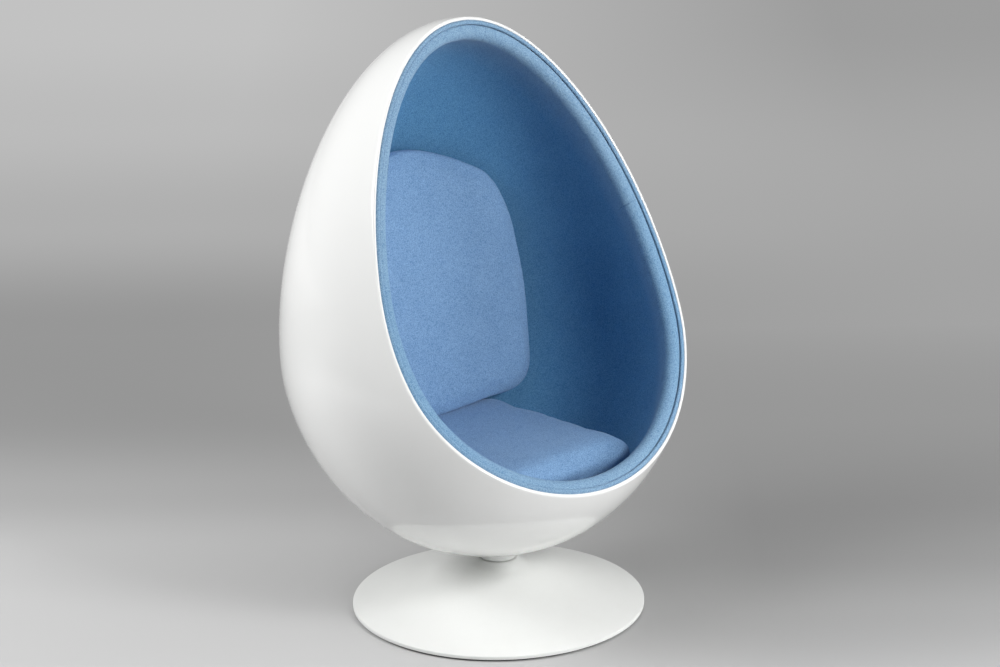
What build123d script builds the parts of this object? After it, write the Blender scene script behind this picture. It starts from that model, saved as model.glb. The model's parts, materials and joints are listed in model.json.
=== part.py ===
from build123d import *

import os
from math import acos, atan2, cos, hypot, radians, sin, sqrt, tan

# Pod chair: an egg-shaped moulded shell on a round swivel base, padded and lined inside, with a loose
# seat cushion and a loose back cushion. Millimetres and degrees. +Z is up, the opening faces -Y, and
# the origin is where the swivel axis meets the floor.

# Egg: a solid of revolution about an axis that leans back.
egg_radius = 445.0  # at the waist, its widest ring
egg_length = 1167.5  # along its own axis
egg_waist = 457.0  # height of the waist along that axis
foot_fullness = 313.0  # handles of the profile's two curves: how blunt the foot and the crown are,
waist_below = 162.0  # and how far the sides stay upright below and above the waist
waist_above = 288.0
crown_fullness = 253.0
egg_lean = 6.3
foot_y = -22.0
foot_z = 139.0

# Opening: seen from the side, a straight edge above and an arc that scoops forward below.
rim_lean = 21.6
rim_forward = 187.0  # from the egg's axis at the waist to the straight edge
scoop_start = 174.0  # above the waist, along the edge
scoop_radius = 1753.0
scoop_angle = 24.0

# Shell, padding and lining, from the outside in.
shell_wall = 7.0
shell_edge_round = 3.0
foam_thickness = 41.0
lining_thickness = 2.0
welt_size = 9.0
welt_proud = 1.0
welt_gap = 0.1  # round the welt in its groove in the padding
roll_setback = 3.0
roll_round = 30.0
roll_share = 0.7  # of the padding's thickness, the most that the rounding can take up
roll_depth = 70.0  # of the firm foam ring behind the rim

# Seat cushion, lying on a firm deck in the bottom of the egg. Its top is a plane that falls back.
seat_height = 386.0  # of that plane above the floor, on the swivel axis
seat_slope = 2.3
seat_thickness = 74.0
seat_front = 232.0
seat_back = 250.0
seat_half_front = 188.0
seat_half_back = 205.0
seat_corner = 48.0
seat_waisting = 7.0  # how far the sides are drawn in between the corners
seat_crown = 7.0
seat_belt = 37.0  # how far under the face the sides start to draw in,
seat_draw = 31.0  # and how far they have drawn in at the underside
seat_edge_round = 22.0
seat_foot_round = 14.0
seat_deck_gap = 0.6

# Back cushion: arched top, rounded lower corners, on a plane that leans back.
back_foot_y = 184.0
back_foot_z = 386.0
back_lean = 11.3
back_height = 596.0
back_thickness = 80.0
back_crown = 6.0
back_belt = 24.0
back_draw = 73.0
back_edge_round = 16.0
back_foot_round = 10.0
back_corner = 74.0
back_half_foot = 305.0  # half widths, going up: above the lower corners,
back_half_widest = 312.0  # at the widest place,
back_half_armpit = 302.0  # where the shoulder starts, in the middle of the shoulder,
back_half_shoulder = 281.0
back_half_arch = 225.0  # and where the top arch starts
back_widest = 244.0  # heights of the last four
back_armpit = 391.0
back_shoulder = 453.0
back_arch = 515.0
back_shoulder_turn = 27.0  # how far the edge has turned inwards at the last two
back_arch_turn = 50.0
back_wall_gap = 1.5  # from the lining, whose shape the cushion's back takes

# Both cushions: sewn cover over foam, closed by a zip.
cover_thickness = 2.0
zip_length = 260.0
zip_width = 8.0
zip_reach = 60.0  # of the cut that parts the zip from the cover, across the cover

# Swivel: hub and spindle under the shell, thrust bearing and bushes in the stem.
hub_radius = 40.0
hub_bottom = 113.0
hub_edge_round = 1.2
hub_boss_radius = 20.0
hub_boss_height = 4.0
spindle_radius = 12.5
spindle_in_hub = 20.0
bearing_radius = 21.0
bearing_height = 11.0
race_thickness = 3.0
race_clearance = 0.5
ball_radius = 2.45
ball_circle = 17.0
ball_count = 16
cage_thickness = 2.6
cage_inner = 13.6
cage_outer = 20.4
cage_clearance = 0.1
bush_wall = 3.5
bush_length = 22.0
bush_flange_radius = 20.0
bush_flange_thickness = 2.0
running_gap = 0.05
end_gap = 0.3
end_washer_radius = 18.0
end_washer_thickness = 3.0
bolt_radius = 4.0
bolt_hole_radius = 4.5
bolt_head_radius = 6.5
bolt_head_height = 5.3
mount_bolt_count = 4
mount_bolt_circle = 28.0
mount_bolt_grip = 14.0  # how far the bolts reach into the hub
end_bolt_grip = 18.0
block_radius = 92.0
block_top = 166.0
spreader_radius = 62.0
spreader_thickness = 5.0
pocket_gap = 2.0

# Base: a spun steel cone over a heavy plate on a thin mat.
base_radius = 321.0
mat_thickness = 3.0
mat_inset = 3.5
plate_thickness = 6.0
plate_hole_radius = 24.0
cone_wall = 2.5
cone_hem = 4.0  # height of the cone's lower edge above the floor
cone_rim = 11.5  # height at which the cone meets its hem
cone_rim_round = 3.0
neck_radius = 42.0
neck_top = 110.0
neck_slope = 48.0
neck_edge_round = 1.0
flare_radius = 58.0
lip_radius = 24.0
stem_radius = 22.0
stem_flange_radius = 62.0
stem_flange_thickness = 12.0
stem_bolt_count = 4
stem_bolt_circle = 46.0
stem_bolt_head_radius = 8.0
stem_bolt_grip = 10.0
stem_bore_relief = 21.0
centring_ring_radius = 35.0
centring_ring_height = 20.0

# Heights and radii that follow from the sizes above.
lining_inset = shell_wall + foam_thickness + lining_thickness
foam_inset = lining_inset - lining_thickness
deck_drop = seat_thickness + seat_deck_gap
plate_radius = base_radius - cone_wall
plate_top = mat_thickness + plate_thickness
stem_top = hub_bottom - hub_boss_height - bearing_height
bush_radius = spindle_radius + bush_wall
lower_bush_seat = plate_top + stem_flange_thickness - bush_flange_thickness
lower_bush_bottom = lower_bush_seat - bush_flange_thickness
spindle_bottom = lower_bush_bottom - end_gap
spindle_top = hub_bottom + spindle_in_hub
end_washer_bottom = spindle_bottom - end_washer_thickness
spreader_top = block_top + spreader_thickness
far = 2 * egg_length  # beyond everything

egg_place = Location((0, foot_y, foot_z), (-egg_lean, 0, 0))
seat_place = Location((0, 0, seat_height), (-seat_slope, 0, 0))
back_place = Plane(
    (0, back_foot_y, back_foot_z),
    x_dir=(1, 0, 0),
    z_dir=(0, -cos(radians(back_lean)), sin(radians(back_lean))),
).location


def ring(inner, outer, low, high):
    """A plain ring or disc about the swivel axis."""
    disc = Pos(0, 0, low) * extrude(Circle(outer), high - low)
    if inner:
        disc -= Pos(0, 0, low) * extrude(Circle(inner), high - low)
    return disc


def pins(radius, circle, count, low, high):
    """Like pins round the swivel axis, none of them on the X or Y axis."""
    pin = Pos(circle, 0, low) * extrude(Circle(radius), high - low)
    return [Rot(0, 0, 360 / count * (k + 0.5)) * pin for k in range(count)]


def egg(inset):
    """The whole egg, solid, this far inside the outer face all round."""
    radius = egg_radius - inset
    top = egg_length - inset
    across = radius / egg_radius
    below = (egg_waist - inset) / egg_waist
    above = (top - egg_waist) / (egg_length - egg_waist)
    lower = Bezier(
        (0, inset),
        (foot_fullness * across, inset),
        (radius, egg_waist - waist_below * below),
        (radius, egg_waist),
    )
    upper = Bezier(
        (radius, egg_waist),
        (radius, egg_waist + waist_above * above),
        (crown_fullness * across, top),
        (0, top),
    )
    half = make_face([lower, upper, Line((0, top), (0, inset))])
    return egg_place * revolve(Plane.XZ * half, Axis.Z)


def before_rim(setback):
    """Everything in front of the opening's surface, moved back into the egg by the setback."""
    forward = Vector(-cos(radians(rim_lean)), sin(radians(rim_lean)))
    along = Vector(sin(radians(rim_lean)), cos(radians(rim_lean)))
    waist = Vector(
        foot_y + egg_waist * sin(radians(egg_lean)), foot_z + egg_waist * cos(radians(egg_lean))
    )
    start = waist + forward * (rim_forward - setback) + along * scoop_start
    radius = scoop_radius + setback
    centre = start + forward * radius

    def scoop(angle):
        turn = radians(angle)
        return centre - forward * radius * cos(turn) - along * radius * sin(turn)

    top, end = start + along * egg_length, scoop(scoop_angle)
    outline = [
        Line(top, start),
        ThreePointArc(start, scoop(scoop_angle / 2), end),
        Line(end, (-far, end.Y)),
        Line((-far, end.Y), (-far, top.Y)),
        Line((-far, top.Y), top),
    ]
    return extrude(Plane.YZ * make_face(outline), far, both=True)


def skin(outer, inner, setback):
    """What lies between two insets of the egg, behind the opening's surface."""
    return egg(outer) - egg(inner) - before_rim(setback)


def rim_edges(body, inset):
    """The edges that the opening cuts into a skin at one inset."""
    faces = egg(inset).faces()
    cut = [e for e in body.edges() if e.geom_type == GeomType.BSPLINE]
    return [e for e in cut if min(f.distance_to(e @ 0.5) for f in faces) < shell_wall / 4]


def padding(outer, inner, setback, rounding):
    """A thick skin with its inner edge rolled over at the rim."""
    body = skin(outer, inner, setback)
    return fillet(rim_edges(body, inner), rounding)


def below_seat(drop):
    """Everything lower than this far under the plane of the seat's top."""
    return seat_place * Pos(0, 0, -drop - far / 2) * Box(far, far, far)


def make_shell():
    """Moulded shell: its edge rounded, with clearance holes for the mount bolts."""
    body = skin(0, shell_wall, 0)
    body = fillet(rim_edges(body, 0) + rim_edges(body, shell_wall), shell_edge_round)
    for hole in pins(bolt_hole_radius, mount_bolt_circle, mount_bolt_count, 0, block_top):
        body -= hole
    return body


def make_welt():
    """Covered cord between the shell's edge and the padded roll."""
    cord = skin(shell_wall, shell_wall + welt_size, -welt_proud)
    return cord & before_rim(welt_size - welt_proud)


def make_padding():
    """The lining, and under it a firm foam ring at the rim and softer foam on the walls."""
    rounding = min(roll_round, roll_share * (lining_inset - shell_wall))
    foam_setback, foam_rounding = roll_setback + lining_thickness, rounding - lining_thickness
    groove = egg(0) - egg(shell_wall + welt_size + welt_gap)
    away = groove & before_rim(welt_size - welt_proud + welt_gap)
    away += below_seat(deck_drop + lining_thickness)
    foam = padding(shell_wall, foam_inset, foam_setback, foam_rounding) - away
    lining = padding(shell_wall, lining_inset, roll_setback, rounding)
    lining -= padding(0, foam_inset, foam_setback, foam_rounding)
    return lining - away, foam & before_rim(roll_depth), foam - before_rim(roll_depth)


def make_deck():
    """Firm foam that fills the bottom of the egg, hollowed over the mount, and its fabric top."""
    foam = egg(shell_wall) & below_seat(deck_drop + lining_thickness)
    foam -= ring(0, block_radius + pocket_gap, 0, spreader_top + bolt_head_height + pocket_gap)
    top = egg(lining_inset) & below_seat(deck_drop)
    return foam, top - below_seat(deck_drop + lining_thickness)


def make_mount():
    """Hub under the shell, block and spreader plate inside it, and the bolts through them."""
    circle, count = mount_bolt_circle, mount_bolt_count
    bolt_bottom = foot_z - mount_bolt_grip
    hub = ring(0, hub_radius, hub_bottom, block_top)
    hub = fillet(hub.edges().sort_by(Axis.Z)[0], hub_edge_round)
    hub = hub - egg(0) + ring(0, hub_boss_radius, hub_bottom - hub_boss_height, hub_bottom)
    hub -= ring(0, spindle_radius, 0, spindle_top)
    block = ring(0, block_radius, 0, block_top) & egg(shell_wall)
    spreader = ring(0, spreader_radius, block_top, spreader_top)
    bolts = []
    heads = pins(bolt_head_radius, circle, count, spreader_top, spreader_top + bolt_head_height)
    for shank, head in zip(pins(bolt_radius, circle, count, bolt_bottom, spreader_top), heads):
        bolts.append(shank + head)
        hub -= shank
    for hole in pins(bolt_hole_radius, circle, count, 0, spreader_top):
        block -= hole
        spreader -= hole
    return hub, block, spreader, bolts


def make_spindle():
    """Spindle pressed into the hub, with the washer and bolt that keep it in the stem."""
    bolt = ring(0, bolt_radius, end_washer_bottom, spindle_bottom + end_bolt_grip)
    spindle = ring(0, spindle_radius, spindle_bottom, spindle_top) - bolt
    washer = ring(bolt_radius, end_washer_radius, end_washer_bottom, spindle_bottom)
    bolt += ring(0, bolt_head_radius, end_washer_bottom - bolt_head_height, end_washer_bottom)
    return spindle, washer, bolt


def make_bearing():
    """Thrust bearing on the stem's top: two races, and balls in a cage that goes round with them."""
    middle = stem_top + bearing_height / 2
    top = stem_top + bearing_height
    bore = spindle_radius + race_clearance
    lower = ring(bore, bearing_radius, stem_top, stem_top + race_thickness)
    upper = ring(spindle_radius, bearing_radius, top - race_thickness, top)
    cage = ring(cage_inner, cage_outer, middle - cage_thickness / 2, middle + cage_thickness / 2)
    pocket = ball_radius + cage_clearance
    for hole in pins(pocket, ball_circle, ball_count, middle - ball_radius, middle + ball_radius):
        cage -= hole
    ball = Pos(ball_circle, 0, middle) * Sphere(ball_radius)
    balls = [Rot(0, 0, 360 / ball_count * (k + 0.5)) * ball for k in range(ball_count)]
    return lower, upper, cage, balls


def make_bushes():
    """Bushes that guide the spindle: a flanged one at the stem's foot, a plain one at its top."""
    bore = spindle_radius + running_gap
    lower = ring(bore, bush_radius, lower_bush_bottom, lower_bush_seat + bush_length)
    lower += ring(bore, bush_flange_radius, lower_bush_bottom, lower_bush_seat)
    return lower, ring(bore, bush_radius, stem_top - bush_length, stem_top)


def make_stem():
    """Tube with a thick flange, the base plate under it, and the countersunk bolts between them."""
    circle, count = stem_bolt_circle, stem_bolt_count
    stem = ring(0, stem_radius, plate_top, stem_top)
    stem += ring(0, stem_flange_radius, plate_top, plate_top + stem_flange_thickness)
    stem -= ring(0, bush_radius, plate_top, stem_top) + ring(0, stem_bore_relief, 0, lower_bush_seat)
    plate = ring(plate_hole_radius, plate_radius, mat_thickness, plate_top)
    head_height = stem_bolt_head_radius - bolt_radius
    head = Pos(circle, 0, mat_thickness + head_height / 2) * Cone(
        stem_bolt_head_radius, bolt_radius, head_height
    )
    bolts = []
    for k, shank in enumerate(
        pins(bolt_radius, circle, count, mat_thickness, plate_top + stem_bolt_grip)
    ):
        bolt = shank + Rot(0, 0, 360 / count * (k + 0.5)) * head
        bolts.append(bolt)
        stem -= bolt
        plate -= bolt
    return stem, plate, bolts


def cone_body(inset, low):
    """Everything under the base cone's face, moved in by the inset: lip, flare, cone and hem."""
    slope = radians(neck_slope)
    centre = Vector(neck_radius + flare_radius * sin(slope), neck_top + flare_radius * cos(slope))
    rim = Vector(base_radius, cone_rim)
    reach = hypot(centre.X - rim.X, centre.Y - rim.Y)
    cone_slope = acos(flare_radius / reach) - atan2(rim.X - centre.X, centre.Y - rim.Y)
    radius, top, edge = flare_radius + inset, neck_top - inset, base_radius - inset

    def flare(angle):
        return centre - Vector(sin(angle), cos(angle)) * radius

    neck = Vector(centre.X - sqrt(radius**2 - (centre.Y - top) ** 2), top)
    neck_angle = atan2(centre.X - neck.X, centre.Y - neck.Y)
    foot = flare(cone_slope)
    corner = Vector(edge, foot.Y - (edge - foot.X) * tan(cone_slope))
    outline = [
        Line((0, top), neck),
        ThreePointArc(neck, flare((neck_angle + cone_slope) / 2), foot),
        Line(foot, corner),
        Line(corner, (edge, low)),
        Line((edge, low), (0, low)),
        Line((0, low), (0, top)),
    ]
    body = revolve(Plane.XZ * make_face(outline), Axis.Z)
    at_corner = [e for e in body.edges() if abs(e.center().Z - corner.Y) < 0.01]
    return fillet(at_corner, cone_rim_round - inset)


def make_cone():
    """Spun cone: hem, sloping face, flared neck and a flat lip round the stem."""
    body = cone_body(0, cone_hem)
    at_neck = [e for e in body.edges() if abs(e.center().Z - neck_top) < 0.01]
    body = fillet(at_neck, neck_edge_round)
    return body - cone_body(cone_wall, 0) - ring(0, lip_radius, 0, neck_top)


def shrunk(half, share):
    """The face inside a half outline and its mirror image, made smaller about the origin. The half
    starts and ends with an edge that crosses the mirror plane."""
    whole = make_face(half + [mirror(edge, Plane.YZ) for edge in half[1:-1]])
    return scale(whole, by=share)


def seat_outline(inset, share):
    """Outline of the seat cushion seen from above: four corners, four drawn-in sides."""
    front, back = -(seat_front - inset), seat_back - inset
    wide_front, wide_back = seat_half_front - inset, seat_half_back - inset
    corner = seat_corner - inset
    cut = corner * (1 - sqrt(0.5))
    waist = (wide_front + wide_back) / 2 - seat_waisting
    front_end, back_end = wide_front - corner, wide_back - corner
    side_front, side_back = (wide_front, front + corner), (wide_back, back - corner)
    half = [
        ThreePointArc((-front_end, front), (0, front + seat_waisting / 2), (front_end, front)),
        ThreePointArc((front_end, front), (wide_front - cut, front + cut), side_front),
        ThreePointArc(side_front, (waist, (front + back) / 2), side_back),
        ThreePointArc(side_back, (wide_back - cut, back - cut), (back_end, back)),
        ThreePointArc((back_end, back), (0, back - seat_waisting / 2), (-back_end, back)),
    ]
    return shrunk(half, share)


def back_outline(inset, share):
    """Outline of the back cushion seen from the front: foot, sides, shoulders and top arch."""
    corner = back_corner - inset
    foot, top = inset, back_height - inset
    wide = back_half_foot - inset
    cut = corner * (1 - sqrt(0.5))
    armpit = (back_half_armpit - inset, back_armpit)

    def moved_in(x, y, turn):
        return x - inset * cos(radians(turn)), y - inset * sin(radians(turn))

    shoulder = moved_in(back_half_shoulder, back_shoulder, back_shoulder_turn)
    arch = moved_in(back_half_arch, back_arch, back_arch_turn)
    half = [
        Line((-(wide - corner), foot), (wide - corner, foot)),
        ThreePointArc((wide - corner, foot), (wide - cut, foot + cut), (wide, foot + corner)),
        ThreePointArc((wide, foot + corner), (back_half_widest - inset, back_widest), armpit),
        ThreePointArc(armpit, shoulder, arch),
        ThreePointArc(arch, (0, top), (-arch[0], arch[1])),
    ]
    return shrunk(half, share)


def crowned(middle, half_width, top, crown):
    """A ball so large that its cap is the cushion's crown."""
    radius = half_width**2 / (2 * crown)
    return Pos(0, middle, top - radius) * Sphere(radius)


def seat_form(inset):
    """The seat cushion: upright to its belt, then drawn in to its underside, under a crown."""
    top = seat_crown - inset
    under = seat_outline(inset, 1 - seat_draw / seat_half_front)
    sections = [
        Pos(0, 0, inset - seat_thickness) * under,
        Pos(0, 0, -seat_belt) * seat_outline(inset, 1),
        Pos(0, 0, top) * seat_outline(inset, 1),
    ]
    middle = (seat_back - seat_front) / 2
    body = loft(sections, ruled=True) & crowned(middle, seat_half_front, top, seat_crown)
    return seat_place * rounded(body, seat_edge_round - inset, seat_foot_round - inset)


def back_form(inset):
    """The back cushion, made in the same way, lying on its back, then shaped by the wall behind it."""
    room = egg(lining_inset + back_wall_gap + inset)
    top = back_crown - inset
    under = back_outline(inset, 1 - back_draw / back_half_foot)
    sections = [
        Pos(0, 0, inset - back_thickness) * under,
        Pos(0, 0, -back_belt) * back_outline(inset, 1),
        Pos(0, 0, top) * back_outline(inset, 1),
    ]
    body = loft(sections, ruled=True) & crowned(back_height / 2, back_half_foot, top, back_crown)
    return back_place * rounded(body, back_edge_round - inset, back_foot_round - inset) & room


def rounded(body, edge_round, foot_round):
    """A cushion's block with its edges round the crown and round the underside rounded."""
    body = fillet(body.faces().filter_by(GeomType.SPHERE).edges(), edge_round)
    return fillet(body.faces().sort_by(Axis.Z)[0].edges(), foot_round)


def make_cushion(form, zip_place):
    """Cover, foam and zip of a cushion. The zip is a strip let into the cover."""
    slot = zip_place * Box(zip_length, zip_reach, zip_width)
    foam = form(cover_thickness)
    cover = form(0) - foam
    return cover - slot, foam, cover & slot


def make_seat_cushion():
    """Its zip runs along the rear, halfway down the part that draws in."""
    down = (seat_belt + seat_thickness) / 2
    return make_cushion(seat_form, seat_place * Pos(0, seat_back - seat_draw / 2, -down))


def make_back_cushion():
    """Its zip runs along the flat foot, halfway back in the part that draws in."""
    depth = (back_belt + back_thickness) / 2
    return make_cushion(back_form, back_place * Pos(0, 0, -depth))


def make_parts():
    parts = {}
    parts["shell"] = make_shell()
    parts["rim_welt"] = make_welt()
    parts["lining_cover"], parts["rim_roll_foam"], parts["wall_foam"] = make_padding()
    parts["seat_deck"], parts["deck_cover"] = make_deck()
    hub, block, spreader, mount_bolts = make_mount()
    parts["swivel_hub"], parts["mount_block"], parts["spreader_plate"] = hub, block, spreader
    parts["mount_bolts"] = Compound(children=mount_bolts)
    parts["spindle"], parts["spindle_washer"], parts["spindle_bolt"] = make_spindle()
    lower_race, upper_race, cage, balls = make_bearing()
    parts["bearing_lower_race"], parts["bearing_upper_race"] = lower_race, upper_race
    parts["bearing_cage"], parts["bearing_balls"] = cage, Compound(children=balls)
    parts["lower_bush"], parts["upper_bush"] = make_bushes()
    stem, plate, stem_bolts = make_stem()
    parts["stem"], parts["base_plate"] = stem, plate
    parts["stem_bolts"] = Compound(children=stem_bolts)
    parts["centring_ring"] = ring(
        stem_radius,
        centring_ring_radius,
        neck_top - cone_wall - centring_ring_height,
        neck_top - cone_wall,
    )
    parts["base_cone"] = make_cone()
    parts["floor_mat"] = ring(0, plate_radius - mat_inset, 0, mat_thickness)
    cover, foam, closure = make_seat_cushion()
    parts["seat_cushion_cover"], parts["seat_cushion_foam"] = cover, foam
    parts["seat_cushion_zip"] = closure
    cover, foam, closure = make_back_cushion()
    parts["back_cushion_cover"], parts["back_cushion_foam"] = cover, foam
    parts["back_cushion_zip"] = closure
    return parts


os.makedirs("parts", exist_ok=True)
for name, part in make_parts().items():
    export_step(part, f"parts/{name}.step")
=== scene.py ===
import json
from math import cos, pi, radians, sin

import bpy
import numpy as np
from mathutils import Matrix, Vector, noise


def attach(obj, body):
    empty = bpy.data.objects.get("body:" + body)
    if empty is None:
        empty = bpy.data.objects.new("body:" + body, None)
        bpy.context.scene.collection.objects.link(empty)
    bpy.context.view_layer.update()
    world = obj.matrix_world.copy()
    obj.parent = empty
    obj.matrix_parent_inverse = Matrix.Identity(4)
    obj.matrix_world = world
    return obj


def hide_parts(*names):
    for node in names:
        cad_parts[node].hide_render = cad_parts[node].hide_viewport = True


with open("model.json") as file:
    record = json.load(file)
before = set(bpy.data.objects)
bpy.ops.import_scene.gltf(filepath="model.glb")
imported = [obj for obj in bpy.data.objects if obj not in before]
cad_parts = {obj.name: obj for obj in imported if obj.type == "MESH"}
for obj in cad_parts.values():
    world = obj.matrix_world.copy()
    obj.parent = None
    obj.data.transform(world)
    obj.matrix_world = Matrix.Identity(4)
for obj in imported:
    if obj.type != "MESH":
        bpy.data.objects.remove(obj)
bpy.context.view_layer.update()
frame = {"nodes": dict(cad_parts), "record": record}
bpy.ops.object.select_all(action="DESELECT")

# Camera. A long lens seven metres off, a little above the chair and well round to the sitter's right, so
# that the opening is seen at a slant and the shell's flank on that side shows.
camera_azimuth, camera_elevation, camera_roll = radians(-42.4), radians(18.4), radians(-0.757)
camera_distance = 7.0
camera_aim = Vector((0, 0, 0.6248))
camera_aside = 0.0108
camera_focus_px, picture_width_px = 3261.2, 1000
sensor_width = 36.0

back = Vector(
    (
        sin(camera_azimuth) * cos(camera_elevation),
        -cos(camera_azimuth) * cos(camera_elevation),
        sin(camera_elevation),
    )
)
level = Vector((cos(camera_azimuth), sin(camera_azimuth), 0))
upright = back.cross(level)
right = level * cos(camera_roll) + upright * sin(camera_roll)
up = upright * cos(camera_roll) - level * sin(camera_roll)
place = camera_aim + level * camera_aside + back * camera_distance
camera_data = bpy.data.cameras.new("camera")
camera_data.sensor_width = sensor_width
camera_data.lens = camera_focus_px * sensor_width / picture_width_px
camera_data.clip_end = 60
camera = bpy.data.objects.new("camera", camera_data)
camera.matrix_world = Matrix(
    [[right[i], up[i], back[i], place[i]] for i in range(3)] + [[0, 0, 0, 1]]
)
bpy.context.scene.collection.objects.link(camera)
bpy.context.scene.camera = camera

# Mat, plate, stem and bearing. A rubber mat on the floor, a heavy steel plate painted black, a turned
# stem bolted to it from below, and a thrust bearing on the stem's end. All of it is under the cone, so
# the turned parts keep their CAD shapes and get their finishes here.


def adder(tree):
    """A function that adds a node to the tree, sets its fields, and links or sets its inputs."""

    def add(kind, fields=None, **inputs):
        node = tree.nodes.new("ShaderNode" + kind)
        for field, value in (fields or {}).items():
            setattr(node, field, value)
        for socket, value in inputs.items():
            key = int(socket[1:]) if socket[1:].isdigit() else socket
            if isinstance(value, bpy.types.NodeSocket):
                tree.links.new(value, node.inputs[key])
            else:
                node.inputs[key].default_value = value
        return node

    return add


def work(add, operation, *values):
    """What one Math node makes of these values."""
    inputs = {f"i{k}": value for k, value in enumerate(values)}
    return add("Math", {"operation": operation}, **inputs).outputs[0]


def new_finish(name):
    """A new material, its shader, a function that adds nodes to it, and one that feeds the shader."""
    material = bpy.data.materials.new(name)
    material.use_nodes = True
    tree = material.node_tree
    shader = tree.nodes["Principled BSDF"]

    def feed(socket, value):
        tree.links.new(value, shader.inputs[socket])

    return material, shader, adder(tree), feed


def new_effect(name, inputs, outputs):
    """A new shader node group with these sockets: its tree, its inputs, and how to give and add."""
    tree = bpy.data.node_groups.new(name, "ShaderNodeTree")
    for socket, value in inputs.items():
        kind = "NodeSocketColor" if isinstance(value, tuple) else "NodeSocketFloat"
        made = tree.interface.new_socket(name=socket, in_out="INPUT", socket_type=kind)
        made.default_value = value
    for socket, kind in outputs.items():
        tree.interface.new_socket(name=socket, in_out="OUTPUT", socket_type="NodeSocket" + kind)
    enter, leave = tree.nodes.new("NodeGroupInput"), tree.nodes.new("NodeGroupOutput")

    def give(socket, value):
        tree.links.new(value, leave.inputs[socket])

    return tree, enter.outputs, give, adder(tree)


def make_mottle():
    """A colour that drifts slowly between a darker and a lighter cast of itself."""
    tree, given, give, add = new_effect(
        "mottle",
        {"Color": (0.8, 0.8, 0.8, 1), "Scale": 8.0, "Spread": 0.1},
        {"Color": "Color", "Mask": "Float"},
    )
    where = add("TexCoord").outputs["Object"]
    cloud = add("TexNoise", Vector=where, Scale=given["Scale"], Detail=5.0, Roughness=0.6)
    cloud = cloud.outputs["Fac"]
    low = work(add, "SUBTRACT", 1.0, given["Spread"])
    high = work(add, "ADD", 1.0, given["Spread"])
    value = add("MapRange", i0=cloud, i1=0.3, i2=0.7, i3=low, i4=high).outputs[0]
    give("Color", add("HueSaturation", Color=given["Color"], Value=value).outputs[0])
    give("Mask", cloud)
    return tree


def make_peel():
    """Fine surface texture: a height from two sizes of noise, for a Bump node."""
    tree, given, give, add = new_effect("peel", {"Scale": 900.0, "Coarse": 0.3}, {"Height": "Float"})
    where = add("TexCoord").outputs["Object"]
    fine = add("TexNoise", Vector=where, Scale=given["Scale"], Detail=2.0).outputs["Fac"]
    wide = work(add, "MULTIPLY", given["Scale"], 0.08)
    broad = add("TexNoise", Vector=where, Scale=wide, Detail=2.0).outputs["Fac"]
    swell = work(add, "MULTIPLY", broad, given["Coarse"])
    give("Height", work(add, "ADD", fine, swell))
    return tree


def make_dust():
    """Where dust settles: faces that look up, broken by noise."""
    tree, given, give, add = new_effect("dust", {"Amount": 0.2, "Scale": 30.0}, {"Mask": "Float"})
    facing = add("SeparateXYZ", Vector=add("NewGeometry").outputs["Normal"]).outputs["Z"]
    upward = add("MapRange", i0=facing, i1=0.5, i2=1.0, i3=0.0, i4=1.0).outputs[0]
    where = add("TexCoord").outputs["Object"]
    patches = add("TexNoise", Vector=where, Scale=given["Scale"], Detail=6.0, Roughness=0.7)
    patchy = add("MapRange", i0=patches.outputs["Fac"], i1=0.35, i2=0.75, i3=0.0, i4=1.0)
    both = work(add, "MULTIPLY", upward, patchy.outputs[0])
    give("Mask", work(add, "MULTIPLY", both, given["Amount"]))
    return tree


def make_lathe_marks():
    """Fine rings about the swivel axis, as a turning tool leaves, for a Bump node."""
    tree, given, give, add = new_effect("lathe_marks", {"Pitch": 9000.0}, {"Height": "Float"})
    apart = add("SeparateXYZ", Vector=add("TexCoord").outputs["Object"]).outputs
    across = work(add, "POWER", apart["X"], 2.0)
    along = work(add, "POWER", apart["Y"], 2.0)
    square = work(add, "ADD", across, along)
    radius = work(add, "SQRT", square)
    reach = work(add, "ADD", radius, apart["Z"])
    phase = work(add, "MULTIPLY", reach, given["Pitch"])
    give("Height", work(add, "SINE", phase))
    return tree


mottle, peel, dust, lathe_marks = make_mottle(), make_peel(), make_dust(), make_lathe_marks()
settled_dust = (0.55, 0.53, 0.49, 1)


def hard_finish(
    name, color, metallic, roughness, scale=900.0, strength=0.15, settling=0.15, turned=False
):
    """Metal, paint, rubber or plastic: drifting tone, uneven roughness, fine texture, some dust."""
    material, shader, add, feed = new_finish(name)
    drift = add("Group", {"node_tree": mottle}, Color=(*color, 1), Scale=14.0, Spread=0.06)
    mask = add("Group", {"node_tree": dust}, Amount=settling, Scale=40.0).outputs["Mask"]
    tone = add("Mix", {"data_type": "RGBA"}, i0=mask, i6=drift.outputs["Color"], i7=settled_dust)
    low, high = max(roughness - 0.06, 0.02), roughness + 0.1
    rough = add("MapRange", i0=drift.outputs["Mask"], i1=0.3, i2=0.7, i3=low, i4=high)
    if turned:
        height = add("Group", {"node_tree": lathe_marks}, Pitch=9000.0).outputs["Height"]
    else:
        height = add("Group", {"node_tree": peel}, Scale=scale, Coarse=0.5).outputs["Height"]
    bump = add("Bump", Strength=strength, Distance=0.0003, Height=height)
    feed("Base Color", tone.outputs[2])
    feed("Roughness", rough.outputs[0])
    feed("Normal", bump.outputs[0])
    shader.inputs["Metallic"].default_value = metallic
    return material


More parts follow.
